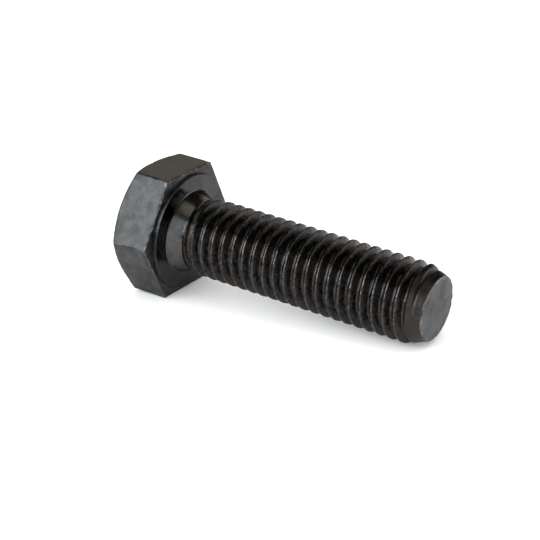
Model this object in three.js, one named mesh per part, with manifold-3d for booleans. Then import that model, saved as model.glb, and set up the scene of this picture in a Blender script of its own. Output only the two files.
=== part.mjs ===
// M10 x 1.5 x 35 hex bolt, threaded to the head: one closed steel body.
// Millimetres. +X runs from the head to the tip, +Z up. The origin is the centre of the bearing face.
import * as THREE from 'three';
import Module from 'manifold-3d';

// Head
const ACROSS_FLATS = 15.9;
const HEAD_HEIGHT = 6.4;
const WASHER_FACE_DEPTH = 0.5;
const WASHER_FACE_RADIUS = 7.45;
const WASHER_FACE_EDGE = 0.12;
const CROWN_FLAT_RADIUS = 7.4;
const CROWN_ANGLE = THREE.MathUtils.degToRad(30);
const THROAT_RADIUS = 5.4;
const THROAT_CURVE = 1.3;

// Shank and thread
const LENGTH = 35;
const PITCH = 1.5;
const NECK_RADIUS = 4.6;
const CREST_RADIUS = 4.98;
const PITCH_RADIUS = 4.5;
const ROOT_RADIUS = 4.14;
const FLANK_ANGLE = THREE.MathUtils.degToRad(30);
const CREST_PHASE = 1.2;
const RUNOUT_START = 1.9;
const RUNOUT_END = 3.5;
const RUNOUT_LIFT = 0.31;

// Tip
const POINT_START = 32.5;
const END_FACE_RADIUS = 3.95;
const POINT_LIFT_START = 33.3;
const POINT_LIFT_RATE = 0.35;
const GROOVE_END = 34.4;

// Facets
const TURN_STEPS = 24;
const THROAT_STEPS = 6;
const OVERLAP = 2;
const CUTTER_TOP_RADIUS = CREST_RADIUS + 0.18;

const wasm = await Module();
wasm.setup();

/** Turns a three.js geometry into a solid that can be joined and cut. */
function toSolid(geometry) {
  const position = geometry.getAttribute('position');
  const index = geometry.getIndex();
  const mesh = new wasm.Mesh({
    numProp: 3,
    vertProperties: new Float32Array(position.array),
    triVerts: index ? new Uint32Array(index.array) : Uint32Array.from({ length: position.count }, (_, i) => i),
  });
  mesh.merge();
  return new wasm.Manifold(mesh);
}

/** Turns a solid back into a three.js geometry. */
function toGeometry(solid) {
  const mesh = solid.getMesh();
  const geometry = new THREE.BufferGeometry();
  geometry.setAttribute('position', new THREE.BufferAttribute(mesh.vertProperties, 3));
  geometry.setIndex(new THREE.BufferAttribute(mesh.triVerts, 1));
  geometry.computeVertexNormals();
  return geometry;
}

/** A body of revolution about X from points (radius, x). */
function revolve(points, segments) {
  const geometry = new THREE.LatheGeometry(points, segments);
  geometry.rotateZ(-Math.PI / 2);
  return toSolid(geometry);
}

/** The hexagon, flats facing +Z and every 60 degrees from it. */
function hexPrism() {
  const corner = ACROSS_FLATS / 2 / Math.cos(Math.PI / 6);
  const depth = HEAD_HEIGHT - WASHER_FACE_DEPTH;
  const shape = new THREE.Shape();
  for (let i = 0; i < 6; i += 1) {
    const angle = Math.PI / 2 + (i * Math.PI) / 3;
    shape[i === 0 ? 'moveTo' : 'lineTo'](corner * Math.cos(angle), corner * Math.sin(angle));
  }
  shape.closePath();
  const geometry = new THREE.ExtrudeGeometry(shape, { depth, bevelEnabled: false });
  geometry.rotateY(Math.PI / 2);
  geometry.translate(-HEAD_HEIGHT, 0, 0);
  return toSolid(geometry);
}

/** The cone that takes the hexagon's corners down to the round flat on the crown. */
function crownCone() {
  const reach = HEAD_HEIGHT + 1;
  const points = [
    new THREE.Vector2(0, -HEAD_HEIGHT),
    new THREE.Vector2(CROWN_FLAT_RADIUS, -HEAD_HEIGHT),
    new THREE.Vector2(CROWN_FLAT_RADIUS + reach / Math.tan(CROWN_ANGLE), 1),
    new THREE.Vector2(0, 1),
  ];
  return revolve(points, TURN_STEPS * 3);
}

/** Washer face, coned throat, neck, run-out, thread blank and point as one turned body. */
function shank() {
  const points = [
    new THREE.Vector2(0, -OVERLAP),
    new THREE.Vector2(WASHER_FACE_RADIUS, -OVERLAP),
    new THREE.Vector2(WASHER_FACE_RADIUS, -WASHER_FACE_EDGE),
    new THREE.Vector2(WASHER_FACE_RADIUS - WASHER_FACE_EDGE, 0),
  ];
  for (let i = 0; i <= THROAT_STEPS; i += 1) {
    const rise = (THROAT_RADIUS - NECK_RADIUS) * (1 - i / THROAT_STEPS) ** THROAT_CURVE;
    points.push(new THREE.Vector2(NECK_RADIUS + rise, (i / THROAT_STEPS) * RUNOUT_START));
  }
  points.push(
    new THREE.Vector2(CREST_RADIUS, RUNOUT_END),
    new THREE.Vector2(CREST_RADIUS, POINT_START),
    new THREE.Vector2(END_FACE_RADIUS, LENGTH),
    new THREE.Vector2(0, LENGTH),
  );
  return revolve(points, TURN_STEPS);
}

/** The right-hand path of the bottom of the groove. Its frame keeps the section in the axial plane. */
class GroovePath extends THREE.Curve {
  constructor(start, end) {
    super();
    const step = (x) => Math.round(((x - CREST_PHASE) / PITCH + 0.5) * TURN_STEPS);
    this.firstStep = step(start);
    this.steps = step(end) - this.firstStep;
  }

  angle(t) {
    return ((this.firstStep + t * this.steps) * 2 * Math.PI) / TURN_STEPS;
  }

  radial(t) {
    return new THREE.Vector3(0, Math.cos(this.angle(t)), Math.sin(this.angle(t)));
  }

  getPoint(t) {
    const x = CREST_PHASE - PITCH / 2 + (this.angle(t) * PITCH) / (2 * Math.PI);
    const early = 1 - THREE.MathUtils.clamp((x - RUNOUT_START) / (RUNOUT_END - RUNOUT_START), 0, 1);
    const late = Math.max(x - POINT_LIFT_START, 0);
    const radius = ROOT_RADIUS + RUNOUT_LIFT * early * early + POINT_LIFT_RATE * late;
    return this.radial(t).multiplyScalar(radius).setX(x);
  }

  getSpacedPoints(divisions) {
    return this.getPoints(divisions);
  }

  computeFrenetFrames(segments) {
    const steps = Array.from({ length: segments + 1 }, (_, i) => i / segments);
    return {
      tangents: steps.map((t) => this.getTangent(t)),
      normals: steps.map((t) => this.radial(t)),
      binormals: steps.map(() => new THREE.Vector3(-1, 0, 0)),
    };
  }
}

/** The 60 degree groove swept along its path, from the run-out to where it leaves the point. */
function threadGroove() {
  const halfWidth = (radius) => PITCH / 4 + (radius - PITCH_RADIUS) * Math.tan(FLANK_ANGLE);
  const bottom = halfWidth(ROOT_RADIUS);
  const top = halfWidth(CUTTER_TOP_RADIUS);
  const height = CUTTER_TOP_RADIUS - ROOT_RADIUS;
  const section = new THREE.Shape([
    new THREE.Vector2(0, -bottom),
    new THREE.Vector2(height, -top),
    new THREE.Vector2(height, top),
    new THREE.Vector2(0, bottom),
  ]);
  const extrudePath = new GroovePath(RUNOUT_START, GROOVE_END);
  const options = { steps: extrudePath.steps, extrudePath, bevelEnabled: false };
  return toSolid(new THREE.ExtrudeGeometry(section, options));
}

const head = hexPrism().intersect(crownCone());
const body = head.add(shank()).subtract(threadGroove());

const material = new THREE.MeshStandardMaterial({ color: 0x3a3a3c, metalness: 0.9, roughness: 0.42 });
const bolt = new THREE.Mesh(toGeometry(body), material);
bolt.name = 'hex_bolt';

const root = new THREE.Group();
root.name = 'hex_bolt_m10';
root.add(bolt);

export default root;
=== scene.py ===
"""Studio scene of an M10 hex bolt: one forged and thread-rolled piece of black-oxide steel.

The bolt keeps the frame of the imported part: metres, +X from the head to the tip, +Z up, and the
origin at the centre of the bearing face. It lies on its head and its last threads, so the floor is
tilted to meet it.
"""

import logging
import math
from collections.abc import Callable, Iterator
from contextlib import contextmanager
from dataclasses import dataclass, field
from enum import Enum

import bmesh
import bpy
import numpy as np
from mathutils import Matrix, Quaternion, Vector, noise

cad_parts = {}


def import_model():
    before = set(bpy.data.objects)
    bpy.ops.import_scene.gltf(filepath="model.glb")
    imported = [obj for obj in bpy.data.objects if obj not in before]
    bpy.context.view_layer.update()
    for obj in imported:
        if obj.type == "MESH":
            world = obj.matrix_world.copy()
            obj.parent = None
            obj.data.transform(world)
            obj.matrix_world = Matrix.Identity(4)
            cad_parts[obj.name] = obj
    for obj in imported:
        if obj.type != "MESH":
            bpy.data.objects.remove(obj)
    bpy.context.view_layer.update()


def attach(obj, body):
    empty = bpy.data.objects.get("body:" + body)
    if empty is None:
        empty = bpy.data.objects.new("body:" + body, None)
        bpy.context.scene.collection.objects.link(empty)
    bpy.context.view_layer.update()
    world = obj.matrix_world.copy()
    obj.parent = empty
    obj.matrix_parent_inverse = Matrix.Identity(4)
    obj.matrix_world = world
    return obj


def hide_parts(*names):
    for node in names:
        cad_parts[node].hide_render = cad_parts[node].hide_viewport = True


LOG = logging.getLogger("hex_bolt")
MM = 0.001
SNAP = 1e-7
MERGE = 0.01 * MM
SQUARE = 0.999
NOISE_SEED = 5
WEAR = "wear"
CAD_NODE = "hex_bolt"

Colour = tuple[float, float, float]
Ring = tuple[float, float]
Span = tuple[float, float]
Value = float | Colour | bpy.types.NodeSocket
Rule = Callable[[bmesh.types.BMVert | bmesh.types.BMEdge | bmesh.types.BMFace], bool]


class Zone(Enum):
    """A surface of the bolt with a finish of its own. The value is its material slot."""

    FORGED_HEAD = 0
    PRESSED_FACE = 1
    DRAWN_NECK = 2
    ROLLED_THREAD = 3
    TURNED = 4
    CUT_END = 5


class Part(Enum):
    """A kind of mesh element. The value is the name of its list in an edit mesh."""

    VERT = "verts"
    EDGE = "edges"
    FACE = "faces"


# ---------------------------------------------------------------- modelling


def take(obj: bpy.types.Object) -> None:
    """Makes one object the only selected and active one.

    Args:
        obj: the object that the next operators act on.
    """
    if bpy.context.object and bpy.context.object.mode != "OBJECT":
        bpy.ops.object.mode_set(mode="OBJECT")
    bpy.ops.object.select_all(action="DESELECT")
    obj.select_set(True)
    bpy.context.view_layer.objects.active = obj


@contextmanager
def editing(obj: bpy.types.Object, part: Part) -> Iterator[None]:
    """Holds an object in edit mode with nothing selected.

    Args:
        obj: the mesh object to edit.
        part: what the select mode picks.

    Yields:
        Nothing; edit mode ends when the block does.
    """
    take(obj)
    bpy.ops.object.mode_set(mode="EDIT")
    bpy.ops.mesh.select_mode(type=part.name)
    bpy.ops.mesh.select_all(action="DESELECT")
    yield
    bpy.ops.object.mode_set(mode="OBJECT")


def pick(obj: bpy.types.Object, part: Part, rule: Rule) -> None:
    """Selects in edit mode the elements that a rule accepts, and only those.

    Args:
        obj: the object in edit mode.
        part: which elements to look at.
        rule: tells for one element if it is wanted.
    """
    mesh = bmesh.from_edit_mesh(obj.data)
    bpy.ops.mesh.select_all(action="DESELECT")
    for element in getattr(mesh, part.value):
        if rule(element):
            element.select_set(True)
    bmesh.update_edit_mesh(obj.data)


def open_rim(x: float) -> Rule:
    """The rule for the free edges in the plane across the bolt at x.

    Args:
        x: the plane's place along the bolt.

    Returns:
        A rule for pick.
    """
    return lambda edge: edge.is_boundary and all(abs(v.co.x - x) < MERGE for v in edge.verts)


def draw_rings(start: Ring, rings: list[Ring]) -> None:
    """Pulls the selected rim along and across the axis, ring by ring.

    Args:
        start: where the rim is now, as x and radius.
        rings: the x and radius of each new ring.
    """
    x, radius = start
    for next_x, next_radius in rings:
        step = (next_x - x, 0.0, 0.0)
        bpy.ops.mesh.extrude_region_move(TRANSFORM_OT_translate={"value": step})
        scale = next_radius / radius
        bpy.ops.transform.resize(value=(1.0, scale, scale), center_override=(next_x, 0.0, 0.0))
        x, radius = next_x, next_radius


def vertex_positions(mesh: bpy.types.Mesh) -> np.ndarray:
    """Reads where a mesh's vertices are.

    Args:
        mesh: the mesh.

    Returns:
        One row of x, y and z for each vertex.
    """
    flat = np.empty(len(mesh.vertices) * 3)
    mesh.vertices.foreach_get("co", flat)
    return flat.reshape(-1, 3)


def smooth_min(a: np.ndarray, b: np.ndarray, blend: float) -> np.ndarray:
    """The lower of two heights, with the crossing rounded over blend."""
    h = np.clip(blend - np.abs(a - b), 0.0, None) / blend
    return np.minimum(a, b) - h * h * blend / 4


def smooth_max(a: np.ndarray, b: np.ndarray, blend: float) -> np.ndarray:
    """The higher of two heights, with the crossing rounded over blend."""
    return -smooth_min(-a, -b, blend)


def fade(value: np.ndarray, low: float, high: float) -> np.ndarray:
    """Rises from 0 at low to 1 at high with soft ends."""
    t = np.clip((value - low) / (high - low), 0.0, 1.0)
    return t * t * (3 - 2 * t)


@dataclass
class HexHead:
    """The forged hexagon: a turned blank with a coned crown, milled to six flats."""

    across_flats: float = 15.9 * MM
    crown_x: float = -6.4 * MM
    foot_x: float = -0.5 * MM
    crown_radius: float = 7.4 * MM
    crown_angle: float = math.radians(30)
    blank_radius: float = 9.7 * MM
    edge_round: float = 0.13 * MM
    sharp_angle: float = math.radians(25)
    sides: int = 192
    first_cut: float = -6.2 * MM
    cut_spacing: float = 0.35 * MM
    cuts: int = 17
    spokes: int = 48

    @property
    def flat_distance(self) -> float:
        """From the axis to a flat."""
        return self.across_flats / 2

    @property
    def corner_radius(self) -> float:
        """From the axis to a corner."""
        return self.flat_distance / math.cos(math.pi / 6)

    def build(self) -> bpy.types.Object:
        """Models the head, open where the shank joins it.

        Returns:
            The head, with its rounded edges.
        """
        cone = self.blank_radius - self.crown_radius
        shoulder_x = self.crown_x + cone * math.tan(self.crown_angle)
        bpy.ops.mesh.primitive_cylinder_add(
            vertices=self.sides,
            radius=self.blank_radius,
            depth=self.foot_x - shoulder_x,
            location=((self.foot_x + shoulder_x) / 2, 0.0, 0.0),
            rotation=(0.0, math.pi / 2, 0.0),
        )
        head = bpy.context.object
        head.name = "bolt_head"
        bpy.ops.object.transform_apply(location=True, rotation=True, scale=True)
        with editing(head, Part.FACE):
            self._turn_crown(head, shoulder_x)
            self._mill_flats()
            self._round_edges(head)
            self._divide()
            pick(head, Part.FACE, lambda face: face.normal.x > SQUARE)
            bpy.ops.mesh.delete(type="FACE")
        return head

    def _turn_crown(self, head: bpy.types.Object, shoulder_x: float) -> None:
        """Cones the crown down to its round flat.

        Args:
            head: the blank in edit mode.
            shoulder_x: where the cone starts on the blank.
        """
        pick(head, Part.FACE, lambda face: face.normal.x < -SQUARE)
        draw_rings((shoulder_x, self.blank_radius), [(self.crown_x, self.crown_radius)])

    def _mill_flats(self) -> None:
        """Cuts the six flats, the first facing +Z."""
        for side in range(6):
            angle = side * math.pi / 3
            normal = Vector((0.0, -math.sin(angle), math.cos(angle)))
            bpy.ops.mesh.select_all(action="SELECT")
            bpy.ops.mesh.bisect(
                plane_co=normal * self.flat_distance,
                plane_no=normal,
                use_fill=True,
                clear_outer=True,
                threshold=SNAP,
            )
        bpy.ops.mesh.select_all(action="SELECT")
        bpy.ops.mesh.remove_doubles(threshold=MERGE)

    def _divide(self) -> None:
        """Divides the head finely enough for dents and wear, across the axis and along it."""
        places = [self.first_cut + step * self.cut_spacing for step in range(self.cuts)]
        planes = [(Vector((x, 0.0, 0.0)), Vector((1.0, 0.0, 0.0))) for x in places]
        for step in range(self.spokes):
            angle = (step + 0.5) * math.pi / self.spokes
            planes.append((Vector(), Vector((0.0, -math.sin(angle), math.cos(angle)))))
        for place, normal in planes:
            bpy.ops.mesh.select_all(action="SELECT")
            bpy.ops.mesh.bisect(plane_co=place, plane_no=normal, threshold=SNAP)

    def _round_edges(self, head: bpy.types.Object) -> None:
        """Rounds every sharp edge as the forging die and handling leave it.

        Args:
            head: the milled head in edit mode.
        """
        pick(
            head,
            Part.EDGE,
            lambda edge: edge.is_manifold and edge.calc_face_angle() > self.sharp_angle,
        )
        bpy.ops.mesh.bevel(offset=self.edge_round, segments=3, affect="EDGES", clamp_overlap=True)


@dataclass
class ThreadedShank:
    """Washer face, throat, neck, rolled thread and point, drawn out of one thread sheet."""

    length: float = 35.0 * MM
    pitch: float = 1.5 * MM
    crest_radius: float = 4.98 * MM
    pitch_radius: float = 4.5 * MM
    root_radius: float = 4.12 * MM
    crest_round: float = 0.06 * MM
    root_round: float = 0.16 * MM
    crest_phase: float = 1.2 * MM
    neck_radius: float = 4.6 * MM
    neck_cut: float = 1.8 * MM
    runout: Span = (1.9 * MM, 3.5 * MM)
    runout_depth: float = 0.14 * MM
    point_start: float = 32.5 * MM
    end_radius: float = 3.95 * MM
    end_round: float = 0.10 * MM
    end_land: float = 0.16 * MM
    end_rings: tuple[float, ...] = (0.8, 0.3)
    fade_start: float = 33.3 * MM
    fade_rate: float = 0.35
    end_tilt: float = 0.012
    waviness: float = 0.03 * MM
    wave_size: float = 0.7 * MM
    blank_blend: float = 0.05 * MM
    throat_radius: float = 5.4 * MM
    throat_curve: float = 1.3
    throat_round: float = 0.12 * MM
    throat_steps: int = 11
    throat_foot: tuple[Ring, ...] = ((0.45, 0.45), (0.12, 0.95), (0.0, 1.7))
    face_radius: float = 7.45 * MM
    face_edge: float = 0.06 * MM
    foot_x: float = -0.5 * MM
    steps: int = 128
    turns: int = 26
    profile_points: int = 20

    def build(self) -> bpy.types.Object:
        """Models the shank, open where the head joins it.

        Returns:
            The shank.
        """
        shank = self._profile()
        self._screw(shank)
        self._form(shank)
        end_cut = self.length - self.end_round
        with editing(shank, Part.EDGE):
            for x, side in ((self.neck_cut, "clear_inner"), (end_cut, "clear_outer")):
                bpy.ops.mesh.select_all(action="SELECT")
                cut = {"plane_co": (x, 0.0, 0.0), "plane_no": (1.0, 0.0, 0.0), side: True}
                bpy.ops.mesh.bisect(threshold=SNAP, **cut)
            bpy.ops.mesh.select_all(action="SELECT")
            bpy.ops.mesh.remove_doubles(threshold=0.3 * MERGE)
            pick(shank, Part.EDGE, open_rim(self.neck_cut))
            draw_rings((self.neck_cut, self.neck_radius), self._head_side_rings())
            pick(shank, Part.EDGE, open_rim(end_cut))
            draw_rings((end_cut, self._point_radius(end_cut)), self._end_rings(end_cut))
            bpy.ops.mesh.edge_face_add()
        return shank

    @property
    def weld_x(self) -> float:
        """Where the washer face's side waits, clear of the head, until the two are bridged."""
        return self.foot_x / 2

    @property
    def last_crest_x(self) -> float:
        """The last full crest on the underside, where the bolt rests."""
        first = self.crest_phase + self.pitch * 0.75
        return first + self.pitch * math.floor((self.point_start - first) / self.pitch)

    def _point_radius(self, x: float) -> float:
        """The cone's radius at x."""
        slope = (self.crest_radius - self.end_radius) / (self.length - self.point_start)
        return self.crest_radius - (x - self.point_start) * slope

    def _groove_heights(self) -> list[Ring]:
        """One pitch of the thread, from one root to the next.

        Returns:
            The x and radius of each profile point.
        """
        half = self.pitch / 2
        crowd = np.linspace(-1.0, 1.0, self.profile_points + 1)
        offset = half * (0.75 * crowd - 0.25 * np.sin(np.pi * crowd) / np.pi)
        offset = half * offset / offset[-1]
        flank = self.pitch_radius + (self.pitch / 4 - np.abs(offset)) / math.tan(math.radians(30))
        root = np.full_like(flank, self.root_radius)
        crest = np.full_like(flank, self.crest_radius)
        radius = smooth_min(smooth_max(flank, root, self.root_round), crest, self.crest_round)
        return [(float(x), float(r)) for x, r in zip(offset, radius)]

    def _profile(self) -> bpy.types.Object:
        """Draws the profile of one pitch, vertex by vertex.

        Returns:
            An open line of vertices, one turn below the bearing face.
        """
        points = self._groove_heights()
        start_x = self.crest_phase - self.pitch
        x, radius = points[0]
        bpy.ops.mesh.primitive_plane_add(size=0.1 * MM, location=(start_x + x, radius, 0.0))
        line = bpy.context.object
        line.name = "bolt_shank"
        bpy.ops.object.transform_apply(location=True, rotation=True, scale=True)
        with editing(line, Part.VERT):
            bpy.ops.mesh.select_all(action="SELECT")
            bpy.ops.mesh.merge(type="CENTER")
            for next_x, next_radius in points[1:]:
                step = (next_x - x, next_radius - radius, 0.0)
                bpy.ops.mesh.extrude_region_move(TRANSFORM_OT_translate={"value": step})
                x, radius = next_x, next_radius
        return line

    def _screw(self, line: bpy.types.Object) -> None:
        """Winds the profile into a right-hand thread and welds its turns.

        Args:
            line: the profile of one pitch.
        """
        screw = line.modifiers.new("thread", "SCREW")
        screw.axis = "X"
        screw.angle = 2 * math.pi
        screw.screw_offset = self.pitch
        screw.iterations = self.turns
        screw.steps = screw.render_steps = self.steps
        take(line)
        bpy.ops.object.modifier_apply(modifier=screw.name)
        with editing(line, Part.VERT):
            bpy.ops.mesh.select_all(action="SELECT")
            bpy.ops.mesh.remove_doubles(threshold=0.2 * MERGE)

    def _form(self, shank: bpy.types.Object) -> None:
        """Gives the thread its run-out at the neck and its fade on the point.

        Args:
            shank: the wound thread.
        """
        place = vertex_positions(shank.data)
        x = place[:, 0]
        radius = np.hypot(place[:, 1], place[:, 2])
        low, high = self.runout
        early = np.clip((high - x) / (high - low), 0.0, 1.0)
        blank = self.crest_radius - (self.crest_radius - self.neck_radius) * early
        slope = (self.crest_radius - self.end_radius) / (self.length - self.point_start)
        cone = self.crest_radius + (self.point_start - x) * slope
        lift = (self.neck_radius - self.runout_depth - self.root_radius) * early**2
        core = self.root_radius + lift + self.fade_rate * np.clip(x - self.fade_start, 0.0, None)
        core = np.where(x < low, self.neck_radius, core)
        formed = np.minimum(blank, np.maximum(core, radius))
        formed = smooth_min(formed, cone, self.blank_blend)
        place[:, 1:] *= (formed / radius)[:, None]
        place += self._waves(place) * fade(x, low, low + self.pitch)[:, None]
        shank.data.vertices.foreach_set("co", place.ravel())
        shank.data.update()

    def _waves(self, place: np.ndarray) -> np.ndarray:
        """The slight unevenness of a rolled thread, dying away on the point.

        Args:
            place: the thread's vertices.

        Returns:
            How far each vertex is out of its place.
        """
        scale = 1 / self.wave_size
        uneven = np.array([noise.noise_vector(Vector(point) * scale) for point in place])
        calm = 1 - fade(place[:, 0], self.point_start + 0.5 * MM, self.length - 0.5 * MM)
        return uneven * self.waviness * calm[:, None]

    def _head_side_rings(self) -> list[Ring]:
        """Coned throat, bearing face and the washer face's rounded edge.

        Returns:
            The rings from the neck cut to the foot of the washer face.
        """
        rings = []
        rise = self.throat_radius - self.neck_radius
        for i in range(1, self.throat_steps + 1):
            x = self.throat_round
            x += (self.neck_cut - self.throat_round) * (1 - i / self.throat_steps)
            depth = 1 - x / self.runout[0]
            rings.append((x, self.neck_radius + rise * depth**self.throat_curve))
        x, radius = rings[-1]
        rings += [(near * x, radius + out * x) for near, out in self.throat_foot]
        edge = self.face_edge
        rings.append((0.0, self.face_radius - 3 * edge))
        for i in range(4):
            angle = i / 3 * math.pi / 2
            radius = self.face_radius - edge * (1 - math.sin(angle))
            rings.append((-edge * (1 - math.cos(angle)), radius))
        rings.append((self.weld_x, self.face_radius))
        return rings

    def _end_rings(self, end_cut: float) -> list[Ring]:
        """The rounded rim and the flat of the end face.

        Args:
            end_cut: where the point's cone was cut.

        Returns:
            The rings from the cut to the middle of the end face.
        """
        start = self._point_radius(end_cut)
        inner = start - self.end_land
        rings = []
        for i in range(1, 5):
            angle = i / 4 * math.pi / 2
            radius = inner + (start - inner) * math.cos(angle)
            rings.append((end_cut + (self.length - end_cut) * math.sin(angle), radius))
        return rings + [(self.length, share * inner) for share in self.end_rings]


@dataclass(frozen=True)
class WearBands:
    """How far handling reaches in from each exposed edge. A pair is where it fades."""

    corner: float = 0.12 * MM
    rim: float = 0.02 * MM
    rim_end: Span = (0.10 * MM, 0.14 * MM)
    crest: float = 0.07 * MM
    crest_from: float = 1.0 * MM
    washer: Span = (0.12 * MM, 0.02 * MM)
    washer_edges: float = 2.5
    washer_share: float = 0.6
    end: Span = (0.25 * MM, 0.08 * MM)
    end_core: Span = (3.5 * MM, 3.75 * MM)
    tip_reach: Span = (0.7 * MM, 0.2 * MM)
    tip_depth: Span = (0.9 * MM, 0.2 * MM)
    tip_share: float = 0.8


@dataclass
class HexBolt:
    """The whole bolt: head and shank welded into one closed piece."""

    head: HexHead = field(default_factory=HexHead)
    shank: ThreadedShank = field(default_factory=ThreadedShank)
    uneven_size: float = 1.8 * MM
    uneven_height: float = 0.012 * MM
    dent_size: float = 0.55 * MM
    dent_depth: float = 0.22 * MM
    dent_level: float = 0.12
    head_heart: float = -3.2 * MM
    end_pull: float = 8.0 * MM
    end_evenness: float = 0.3
    bands: WearBands = field(default_factory=WearBands)

    def build(self) -> bpy.types.Object:
        """Models the bolt and splits it into zones.

        Returns:
            The finished mesh object, with no materials yet.
        """
        head = self.head.build()
        shank = self.shank.build()
        take(shank)
        head.select_set(True)
        bpy.ops.object.join()
        bolt = bpy.context.object
        bolt.name = bolt.data.name = "black_hex_bolt"
        weld_x = self.shank.weld_x
        with editing(bolt, Part.EDGE):
            hexagon, circle = open_rim(self.head.foot_x), open_rim(weld_x)
            pick(bolt, Part.EDGE, lambda edge: hexagon(edge) or circle(edge))
            bpy.ops.mesh.bridge_edge_loops()
            pick(bolt, Part.EDGE, lambda edge: all(abs(v.co.x - weld_x) < SNAP for v in edge.verts))
            bpy.ops.transform.translate(value=(self.head.foot_x - weld_x, 0.0, 0.0))
            bpy.ops.mesh.select_all(action="SELECT")
            bpy.ops.mesh.normals_make_consistent(inside=False)
        self._zones(bolt)
        wear = self._wear(bolt)
        self._batter(bolt, wear)
        take(bolt)
        bpy.ops.object.shade_smooth_by_angle(angle=math.radians(40))
        weighted = bolt.modifiers.new("flat_faces", "WEIGHTED_NORMAL")
        weighted.keep_sharp = True
        weighted.weight = 80
        bpy.ops.object.modifier_apply(modifier=weighted.name)
        return bolt

    def dress(self, bolt: bpy.types.Object) -> None:
        """Gives each zone its finish.

        Args:
            bolt: the built bolt.
        """
        groups = OxideGroups()
        for zone in Zone:
            bolt.data.materials.append(FINISHES[zone].material(groups))

    def _zones(self, bolt: bpy.types.Object) -> None:
        """Gives each face the slot of its zone.

        Args:
            bolt: the closed bolt.
        """
        shank, foot = self.shank, self.head.foot_x
        groove_end = shank.point_start + 0.25 * MM
        throat_end = shank.throat_radius - 0.2 * MM
        rim_width, rim_depth = 0.1 * MM, 0.12 * MM
        for face in bolt.data.polygons:
            x, radius = face.center.x, math.hypot(face.center.y, face.center.z)
            inside = shank.face_radius - radius
            if x > shank.length - MERGE:
                zone = Zone.CUT_END
            elif x > groove_end:
                zone = Zone.TURNED
            elif x > shank.runout[0]:
                zone = Zone.ROLLED_THREAD
            elif x > 2 * MERGE or (x > foot and radius < throat_end):
                zone = Zone.DRAWN_NECK
            elif -shank.face_edge < x < -SNAP and inside < rim_width:
                zone = Zone.TURNED
            elif x > -rim_depth or (x > foot and inside > rim_width / 2):
                zone = Zone.PRESSED_FACE
            else:
                zone = Zone.FORGED_HEAD
            face.material_index = zone.value

    def _batter(self, bolt: bpy.types.Object, wear: np.ndarray) -> None:
        """Gives the head its forged unevenness and knocks small dents into the exposed edges.

        Args:
            bolt: the closed bolt.
            wear: how exposed each vertex is.
        """
        shank = self.shank
        place = vertex_positions(bolt.data)
        x, y = place[:, 0], place[:, 1]
        on_head = x < self.head.foot_x - 2 * MERGE
        on_end = x > shank.length - 2 * shank.end_round
        slant = fade(x, shank.length - 1.0 * MM, shank.length)
        x += slant * shank.end_tilt * (y + shank.end_radius)
        for i in np.flatnonzero(on_head | on_end):
            point = Vector(place[i])
            heart_x, share = self.head_heart, 1.0
            if on_end[i]:
                heart_x, share = point.x - self.end_pull, self.end_evenness
            uneven = noise.noise_vector(point / self.uneven_size) * self.uneven_height * share
            knock = max(0.0, noise.noise(point / self.dent_size) - self.dent_level)
            knock *= self.dent_depth * wear[i]
            inward = Vector((heart_x - point.x, -point.y, -point.z)).normalized()
            place[i] += np.array(uneven + inward * knock)
        bolt.data.vertices.foreach_set("co", place.ravel())
        bolt.data.update()

    def _wear(self, bolt: bpy.types.Object) -> np.ndarray:
        """Stores how exposed each vertex is to handling, from 0 to 1.

        Args:
            bolt: the closed bolt.

        Returns:
            The stored values.
        """
        shank, head, bands = self.shank, self.head, self.bands
        place = vertex_positions(bolt.data)
        x = place[:, 0]
        radius = np.hypot(place[:, 1], place[:, 2])
        angle = np.arctan2(place[:, 1], place[:, 2])
        side = np.mod(angle + math.pi / 6, math.pi / 3) - math.pi / 6
        half_side = head.corner_radius / 2
        corner = fade(np.abs(radius * np.sin(side)), half_side - bands.corner, half_side)
        inside = head.flat_distance - radius * np.cos(side)
        rim = fade(inside, 0.0, bands.rim) * (1 - fade(inside, *bands.rim_end))
        tips = fade(radius, *(head.corner_radius - reach for reach in bands.tip_reach))
        tips *= fade(x, *(shank.foot_x - depth for depth in bands.tip_depth))
        on_head = np.maximum(np.maximum(corner, rim), bands.tip_share * tips)
        crest = fade(radius, shank.crest_radius - bands.crest, shank.crest_radius)
        crest *= x > bands.crest_from
        washer = fade(radius, *(shank.face_radius - reach for reach in bands.washer))
        washer *= bands.washer_share * (x > -bands.washer_edges * shank.face_edge)
        end = fade(x, *(shank.length - reach for reach in bands.end))
        end *= fade(radius, *bands.end_core)
        on_shank = np.maximum(np.maximum(crest, washer), end)
        wear = np.where(x < shank.foot_x + 0.1 * MERGE, on_head, on_shank)
        layer = bolt.data.attributes.new(WEAR, "FLOAT", "POINT")
        layer.data.foreach_set("value", wear.astype(np.float32))
        return wear


# ---------------------------------------------------------------- finishes


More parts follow.
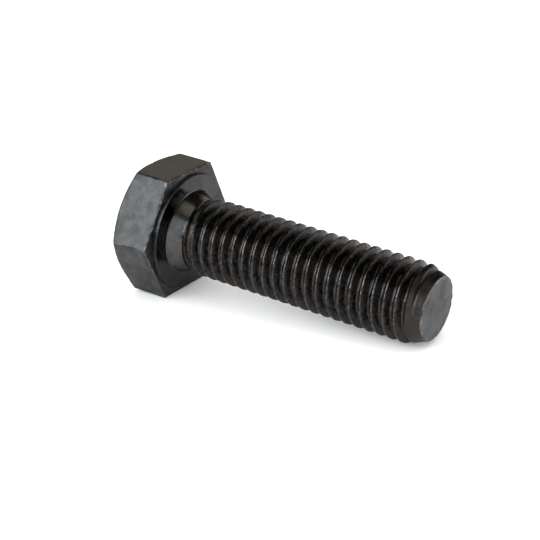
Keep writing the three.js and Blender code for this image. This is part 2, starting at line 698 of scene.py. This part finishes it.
class Nodes:
    """A node tree under construction."""

    def __init__(self, tree: bpy.types.NodeTree) -> None:
        """Starts on a tree.

        Args:
            tree: an empty shader tree or group.
        """
        self.tree = tree

    def add(self, kind: str, **settings: object) -> bpy.types.Node:
        """Adds a node and sets its properties and unlinked inputs.

        Args:
            kind: the node's type name, without ShaderNode.
            **settings: node properties, or input names with underscores for spaces.

        Returns:
            The new node.
        """
        node = self.tree.nodes.new(f"ShaderNode{kind}")
        for name, value in settings.items():
            if hasattr(node, name):
                setattr(node, name, value)
            else:
                node.inputs[name.replace("_", " ")].default_value = value
        return node

    def feed(self, socket: bpy.types.NodeSocket, value: Value) -> None:
        """Sets an input to a number or colour, or links an output to it.

        Args:
            socket: the input.
            value: a number, a colour or an output.
        """
        if isinstance(value, bpy.types.NodeSocket):
            self.tree.links.new(value, socket)
        elif isinstance(value, tuple):
            socket.default_value = (*value, 1.0)
        else:
            socket.default_value = value

    def maths(self, operation: str, *values: Value) -> bpy.types.NodeSocket:
        """One arithmetic step.

        Args:
            operation: the Math node's operation.
            *values: a number or an output for each input.

        Returns:
            The result.
        """
        node = self.add("Math", operation=operation)
        for socket, value in zip(node.inputs, values):
            self.feed(socket, value)
        return node.outputs[0]

    def ramp(
        self, value: Value, low: Value, high: Value, bottom: Value = 0.0, top: Value = 1.0
    ) -> bpy.types.NodeSocket:
        """Maps a value from one range to another, with soft ends.

        Args:
            value: the output to map.
            low: the value that gives bottom.
            high: the value that gives top.
            bottom: the result at low.
            top: the result at high.

        Returns:
            The mapped value.
        """
        node = self.add("MapRange", interpolation_type="SMOOTHSTEP")
        names = ("Value", "From Min", "From Max", "To Min", "To Max")
        for name, setting in zip(names, (value, low, high, bottom, top)):
            self.feed(node.inputs[name], setting)
        return node.outputs["Result"]

    def blend(self, factor: Value, first: Value, second: Value) -> bpy.types.NodeSocket:
        """Mixes two colours.

        Args:
            factor: 0 gives the first colour, 1 the second.
            first: a colour or an output.
            second: a colour or an output.

        Returns:
            The mixed colour.
        """
        node = self.add("Mix", data_type="RGBA")
        colours = [socket for socket in node.inputs if socket.type == "RGBA"]
        for socket, value in zip((node.inputs["Factor"], *colours), (factor, first, second)):
            self.feed(socket, value)
        return next(socket for socket in node.outputs if socket.type == "RGBA")

    def use(self, group: bpy.types.NodeTree, **values: float) -> bpy.types.NodeOutputs:
        """Places a group with values of its own.

        Args:
            group: the shader group.
            **values: input names with underscores for spaces, and their values.

        Returns:
            The group's outputs.
        """
        return self.add("Group", node_tree=group, **values).outputs


class OxideGroups:
    """The shader groups that the bolt's finishes share, each built once."""

    def __init__(self) -> None:
        """Builds the groups."""
        self.mottling = self._mottling()
        self.marks = self._marks()
        self.worn = self._worn()

    @staticmethod
    def _start(
        name: str, inputs: dict[str, float], outputs: list[str]
    ) -> tuple[Nodes, bpy.types.Node, bpy.types.Node]:
        """Starts a group of plain values.

        Args:
            name: the group's name.
            inputs: each input's name and default.
            outputs: the outputs' names.

        Returns:
            The group's nodes, its input node and its output node.
        """
        tree = bpy.data.node_groups.new(name, "ShaderNodeTree")
        kind = "NodeSocketFloat"
        for label, value in inputs.items():
            socket = tree.interface.new_socket(label, in_out="INPUT", socket_type=kind)
            socket.default_value = value
        for label in outputs:
            tree.interface.new_socket(label, in_out="OUTPUT", socket_type=kind)
        return Nodes(tree), tree.nodes.new("NodeGroupInput"), tree.nodes.new("NodeGroupOutput")

    def _mottling(self) -> bpy.types.NodeTree:
        """Uneven oxide: broad blotches, patches of oil film and a fine grain. Sizes in millimetres.

        Returns:
            The group.
        """
        sizes = {"Seed": 0.0, "Blotch Size": 1.0, "Film Size": 3.0, "Grain Size": 0.1}
        nodes, entry, leave = self._start("oxide_mottling", sizes, ["Blotch", "Film", "Grain"])
        place = nodes.add("TexCoord").outputs["Object"]
        for label, detail, low, high, seed in (
            ("Blotch", 6.0, 0.36, 0.66, 0.0),
            ("Film", 3.0, 0.42, 0.68, 7.3),
            ("Grain", 2.0, 0.3, 0.7, 3.1),
        ):
            pattern = nodes.add("TexNoise", noise_dimensions="4D", Detail=detail, Roughness=0.62)
            scale = nodes.maths("DIVIDE", 1 / MM, entry.outputs[f"{label} Size"])
            nodes.feed(pattern.inputs["W"], nodes.maths("ADD", entry.outputs["Seed"], seed))
            nodes.feed(pattern.inputs["Vector"], place)
            nodes.feed(pattern.inputs["Scale"], scale)
            nodes.feed(leave.inputs[label], nodes.ramp(pattern.outputs[0], low, high))
        return nodes.tree

    def _marks(self) -> bpy.types.NodeTree:
        """Fine lines around the axis, as dies and tools leave them. Sizes in millimetres.

        Returns:
            The group.
        """
        sizes = {"Spacing": 0.1, "Length": 3.0}
        nodes, entry, leave = self._start("marks_around_axis", sizes, ["Marks"])
        place = nodes.add("SeparateXYZ")
        nodes.feed(place.inputs[0], nodes.add("TexCoord").outputs["Object"])
        x, y, z = (nodes.maths("DIVIDE", axis, MM) for axis in place.outputs)
        squares = (nodes.maths("POWER", axis, 2.0) for axis in (y, z))
        radius = nodes.maths("SQRT", nodes.maths("ADD", *squares))
        across = nodes.add("CombineXYZ")
        spans = ((x, "Spacing"), (radius, "Spacing"), (y, "Length"))
        for socket, (value, along) in zip(across.inputs, spans):
            nodes.feed(socket, nodes.maths("DIVIDE", value, entry.outputs[along]))
        pattern = nodes.add(
            "TexNoise", noise_dimensions="4D", Scale=1.0, Detail=3.0, Roughness=0.6
        )
        nodes.feed(pattern.inputs["Vector"], across.outputs[0])
        nodes.feed(pattern.inputs["W"], nodes.maths("DIVIDE", z, entry.outputs["Length"]))
        nodes.feed(leave.inputs["Marks"], nodes.ramp(pattern.outputs[0], 0.3, 0.7))
        return nodes.tree

    def _worn(self) -> bpy.types.NodeTree:
        """Exposed edges rubbed bare by handling, broken up by patches. Sizes in millimetres.

        Returns:
            The group.
        """
        sizes = {"Reach": 0.5, "Patch Size": 0.6}
        nodes, entry, leave = self._start("handling_wear", sizes, ["Worn"])
        pattern = nodes.add("TexNoise", Detail=5.0, Roughness=0.65)
        scale = nodes.maths("DIVIDE", 1 / MM, entry.outputs["Patch Size"])
        nodes.feed(pattern.inputs["Vector"], nodes.add("TexCoord").outputs["Object"])
        nodes.feed(pattern.inputs["Scale"], scale)
        layer = nodes.add("Attribute", attribute_type="GEOMETRY", attribute_name=WEAR)
        patches = nodes.ramp(pattern.outputs[0], 0.35, 0.65, 0.35, 1.25)
        exposed = nodes.maths("MULTIPLY", layer.outputs["Fac"], patches)
        start = nodes.maths("SUBTRACT", 1.0, entry.outputs["Reach"])
        nodes.feed(leave.inputs["Worn"], nodes.ramp(exposed, start, 1.1))
        return nodes.tree


@dataclass(frozen=True)
class OxideFinish:
    """Black oxide on one kind of surface. Sizes are in millimetres."""

    name: str
    dark: Colour
    light: Colour
    film: Colour
    bare: Colour
    seed: float = 0.0
    grain_share: float = 0.3
    grain_gloss: float = 0.4
    roughness: Span = (0.35, 0.5)
    bare_roughness: float = 0.3
    blotch_size: float = 1.0
    film_size: float = 3.0
    film_share: float = 0.5
    grain_size: float = 0.1
    grain_height: float = 0.004
    mark_spacing: float = 0.1
    mark_length: float = 3.0
    mark_share: float = 0.2
    mark_height: float = 0.002
    wear_reach: float = 0.5
    wear_patch: float = 0.6

    def material(self, groups: OxideGroups) -> bpy.types.Material:
        """Builds the finish.

        Args:
            groups: the shared shader groups.

        Returns:
            The material.
        """
        material = bpy.data.materials.new(self.name)
        material.use_nodes = True
        material.node_tree.nodes.clear()
        nodes = Nodes(material.node_tree)
        mottling = nodes.use(
            groups.mottling,
            Seed=self.seed,
            Blotch_Size=self.blotch_size,
            Film_Size=self.film_size,
            Grain_Size=self.grain_size,
        )
        marks = nodes.use(groups.marks, Spacing=self.mark_spacing, Length=self.mark_length)["Marks"]
        worn = nodes.use(groups.worn, Reach=self.wear_reach, Patch_Size=self.wear_patch)["Worn"]
        streaked = nodes.maths("MULTIPLY_ADD", marks, self.mark_share, mottling["Blotch"])
        speckled = nodes.maths("MULTIPLY_ADD", mottling["Grain"], self.grain_share, streaked)
        thickness = nodes.ramp(speckled, 0.0, 1.0 + self.mark_share + self.grain_share)
        oxide = nodes.blend(thickness, self.dark, self.light)
        film = nodes.maths("MULTIPLY", mottling["Film"], self.film_share)
        filmed = nodes.blend(film, oxide, self.film)
        uneven = nodes.maths("MULTIPLY_ADD", mottling["Grain"], self.grain_gloss, thickness)
        gloss = nodes.ramp(uneven, 0.0, 1.0 + self.grain_gloss, *self.roughness)
        rough = nodes.ramp(worn, 0.0, 1.0, gloss, self.bare_roughness)
        steel = nodes.add("BsdfPrincipled", Metallic=1.0)
        nodes.feed(steel.inputs["Base Color"], nodes.blend(worn, filmed, self.bare))
        nodes.feed(steel.inputs["Roughness"], rough)
        nodes.feed(steel.inputs["Normal"], self._relief(nodes, mottling["Grain"], marks))
        nodes.feed(nodes.add("OutputMaterial").inputs["Surface"], steel.outputs[0])
        return material

    def _relief(self, nodes: Nodes, grain: Value, marks: Value) -> bpy.types.NodeSocket:
        """The fine relief of grain and tool marks.

        Args:
            nodes: the material's nodes.
            grain: the grain, from 0 to 1.
            marks: the marks, from 0 to 1.

        Returns:
            The normal.
        """
        lines = nodes.maths("MULTIPLY", marks, self.mark_height)
        height = nodes.maths("MULTIPLY_ADD", grain, self.grain_height, lines)
        bump = nodes.add("Bump", Distance=MM)
        nodes.feed(bump.inputs["Height"], height)
        return bump.outputs[0]


FINISHES = {
    Zone.FORGED_HEAD: OxideFinish(
        "forged_black_oxide",
        dark=(0.048, 0.050, 0.050),
        light=(0.136, 0.141, 0.148),
        film=(0.062, 0.057, 0.044),
        bare=(0.27, 0.27, 0.27),
        roughness=(0.38, 0.54),
        blotch_size=1.1,
        film_size=5.0,
        film_share=0.75,
        grain_size=0.22,
        grain_share=0.45,
        grain_height=0.006,
        mark_spacing=0.25,
        mark_share=0.15,
        wear_reach=0.55,
    ),
    Zone.PRESSED_FACE: OxideFinish(
        "pressed_black_oxide",
        dark=(0.054, 0.055, 0.057),
        light=(0.086, 0.088, 0.091),
        film=(0.062, 0.060, 0.057),
        bare=(0.11, 0.11, 0.115),
        roughness=(0.12, 0.20),
        blotch_size=2.0,
        film_share=0.3,
        grain_share=0.1,
        grain_height=0.0006,
        mark_spacing=0.16,
        mark_length=5.0,
        mark_share=0.4,
        mark_height=0.001,
        wear_reach=0.5,
        wear_patch=1.5,
    ),
    Zone.DRAWN_NECK: OxideFinish(
        "drawn_black_oxide",
        dark=(0.085, 0.088, 0.092),
        light=(0.135, 0.140, 0.148),
        film=(0.10, 0.085, 0.05),
        bare=(0.2, 0.2, 0.2),
        roughness=(0.18, 0.28),
        film_size=2.0,
        film_share=0.5,
        grain_share=0.1,
        grain_height=0.0006,
        mark_spacing=0.12,
        mark_share=0.3,
    ),
    Zone.ROLLED_THREAD: OxideFinish(
        "rolled_black_oxide",
        dark=(0.026, 0.024, 0.024),
        light=(0.104, 0.101, 0.102),
        film=(0.066, 0.047, 0.037),
        bare=(0.13, 0.126, 0.122),
        roughness=(0.18, 0.36),
        bare_roughness=0.24,
        blotch_size=0.5,
        film_size=2.4,
        film_share=0.75,
        grain_size=0.2,
        grain_share=0.5,
        grain_height=0.004,
        mark_spacing=0.10,
        mark_length=1.6,
        mark_share=0.8,
        mark_height=0.010,
        wear_reach=0.4,
        wear_patch=0.5,
    ),
    Zone.TURNED: OxideFinish(
        "turned_black_oxide",
        dark=(0.032, 0.030, 0.029),
        light=(0.092, 0.086, 0.081),
        film=(0.066, 0.053, 0.045),
        bare=(0.2, 0.195, 0.19),
        roughness=(0.3, 0.46),
        film_share=0.8,
        grain_size=0.2,
        mark_spacing=0.14,
        mark_length=2.5,
        mark_share=1.0,
        mark_height=0.008,
        wear_reach=0.5,
    ),
    Zone.CUT_END: OxideFinish(
        "cut_black_oxide",
        dark=(0.085, 0.086, 0.088),
        light=(0.240, 0.245, 0.252),
        film=(0.100, 0.097, 0.090),
        bare=(0.24, 0.24, 0.24),
        roughness=(0.48, 0.65),
        # the seed and the broad 5 mm blotches set where the end face is lighter and where it is
        # darker
        seed=8.0,
        blotch_size=5.0,
        film_share=0.3,
        grain_size=0.3,
        grain_share=0.2,
        grain_height=0.008,
        mark_share=0.1,
        wear_reach=0.45,
    ),
}


# ---------------------------------------------------------------- studio


@dataclass(frozen=True)
class Softbox:
    """A distant soft light: a disc of even brightness in one direction."""

    name: str
    towards: tuple[float, float, float]
    spread: float
    radiance: float
    colour: Colour = (1.0, 1.0, 1.0)
    reflected: bool = True

    def build(self) -> None:
        """Adds the light."""
        lamp = bpy.data.lights.new(self.name, "SUN")
        lamp.angle = math.radians(self.spread)
        lamp.energy = self.radiance * math.pi * math.sin(lamp.angle / 2) ** 2
        lamp.color = self.colour
        light = bpy.data.objects.new(self.name, lamp)
        light.rotation_euler = Vector(self.towards).to_track_quat("Z", "Y").to_euler()
        light.visible_glossy = self.reflected
        bpy.context.scene.collection.objects.link(light)


@dataclass(frozen=True)
class Studio:
    """Plain pale floor under the bolt, soft lights and a dim room."""

    lights: tuple[Softbox, ...] = (
        Softbox("key_softbox", (-0.47, -0.75, 0.46), 44.0, 3.9, (0.95, 0.98, 1.0)),
        Softbox("front_softbox", (0.33, -0.80, 0.40), 52.0, 1.0, (0.95, 0.98, 1.0)),
        Softbox("overhead_softbox", (0.05, -0.1, 1.0), 36.0, 0.7, (1.0, 0.92, 0.70)),
        Softbox("rear_softbox", (0.70, 0.68, 0.24), 46.0, 1.25, (0.90, 0.95, 1.0)),
        Softbox("warm_bounce", (-0.47, 0.78, 0.42), 36.0, 0.8, (1.0, 0.86, 0.70)),
        Softbox("ceiling_dome", (0.0, 0.0, 1.0), 150.0, 1.3, reflected=False),
    )
    room: Colour = (0.035, 0.033, 0.030)
    backdrop: Colour = (1.0, 1.0, 1.0)
    floor_shade: float = 0.90
    floor_bounce: float = 0.58
    floor_roughness: float = 0.9
    floor_glow: float = 0.12
    floor_size: float = 6.0

    def build(self, bolt: HexBolt) -> None:
        """Sets up floor, lights and room.

        Args:
            bolt: the bolt that the floor has to meet.
        """
        self._floor(bolt)
        for light in self.lights:
            light.build()
        self._room()

    def _floor(self, bolt: HexBolt) -> bpy.types.Object:
        """A floor through the head's lower edge and the last full crest.

        Args:
            bolt: the bolt that lies on it.

        Returns:
            The floor.
        """
        edge_x, edge_z = bolt.head.foot_x, -bolt.head.flat_distance
        crest_x, crest_z = bolt.shank.last_crest_x, -bolt.shank.crest_radius
        tilt = math.atan2(crest_z - edge_z, crest_x - edge_x)
        bpy.ops.object.select_all(action="DESELECT")
        bpy.ops.mesh.primitive_plane_add(
            size=self.floor_size, location=(edge_x, 0.0, edge_z), rotation=(0.0, -tilt, 0.0)
        )
        floor = bpy.context.object
        floor.name = "studio_floor"
        bpy.ops.object.transform_apply(location=True, rotation=True, scale=True)
        material = bpy.data.materials.new("pale_floor")
        material.use_nodes = True
        shader = material.node_tree.nodes["Principled BSDF"]
        nodes = Nodes(material.node_tree)
        seen = nodes.add("LightPath").outputs["Is Camera Ray"]
        shader.inputs["Emission Color"].default_value = (1.0, 1.0, 1.0, 1.0)
        glow = nodes.maths("MULTIPLY", seen, self.floor_glow)
        nodes.feed(shader.inputs["Emission Strength"], glow)
        shades = ((self.floor_bounce,) * 3, (self.floor_shade,) * 3)
        nodes.feed(shader.inputs["Base Color"], nodes.blend(seen, *shades))
        shader.inputs["Roughness"].default_value = self.floor_roughness
        shader.inputs["Specular IOR Level"].default_value = 0.0
        floor.data.materials.append(material)
        return floor

    def _room(self) -> None:
        """A dim room for the reflections behind a pale backdrop."""
        world = bpy.data.worlds.new("studio_room")
        bpy.context.scene.world = world
        world.use_nodes = True
        world.node_tree.nodes.clear()
        nodes = Nodes(world.node_tree)
        seen = nodes.add("LightPath").outputs["Is Camera Ray"]
        background = nodes.add("Background")
        nodes.feed(background.inputs["Color"], nodes.blend(seen, self.room, self.backdrop))
        nodes.feed(nodes.add("OutputWorld").inputs["Surface"], background.outputs[0])


@dataclass(frozen=True)
class StudioCamera:
    """The camera, by the point it aims at and its angles around that point."""

    aim: tuple[float, float, float] = (9.63 * MM, 3.98 * MM, -4.02 * MM)
    distance: float = 189.2 * MM
    azimuth: float = math.radians(31.34)
    elevation: float = math.radians(24.78)
    roll: float = math.radians(3.51)
    lens: float = 99.15
    sensor: float = 36.0
    clip: Span = (0.01, 20.0)

    def build(self) -> None:
        """Adds the camera and makes it the scene's."""
        level = math.cos(self.elevation)
        across, away = level * math.sin(self.azimuth), level * math.cos(self.azimuth)
        back = Vector((across, -away, math.sin(self.elevation)))
        data = bpy.data.cameras.new("studio_camera")
        data.lens, data.sensor_width = self.lens, self.sensor
        data.clip_start, data.clip_end = self.clip
        camera = bpy.data.objects.new("studio_camera", data)
        camera.location = Vector(self.aim) + back * self.distance
        turn = (-back).to_track_quat("-Z", "Y") @ Quaternion((0.0, 0.0, 1.0), self.roll)
        camera.rotation_euler = turn.to_euler()
        bpy.context.scene.collection.objects.link(camera)
        bpy.context.scene.camera = camera


def main() -> None:
    """Loads the frame, builds the bolt and the studio around it, and reports each piece."""
    logging.basicConfig(level=logging.INFO, format="%(name)s: %(message)s")
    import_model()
    noise.seed_set(NOISE_SEED)
    bolt = HexBolt()
    piece = bolt.build()
    bolt.dress(piece)
    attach(piece, "root")
    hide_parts(CAD_NODE)
    mesh = piece.data
    LOG.info("%s: %d faces, %d finishes", piece.name, len(mesh.polygons), len(mesh.materials))
    Studio().build(bolt)
    StudioCamera().build()
    bpy.context.scene.view_settings.view_transform = "Standard"
    LOG.info("studio and camera are ready")


if __name__ == "__main__":
    main()
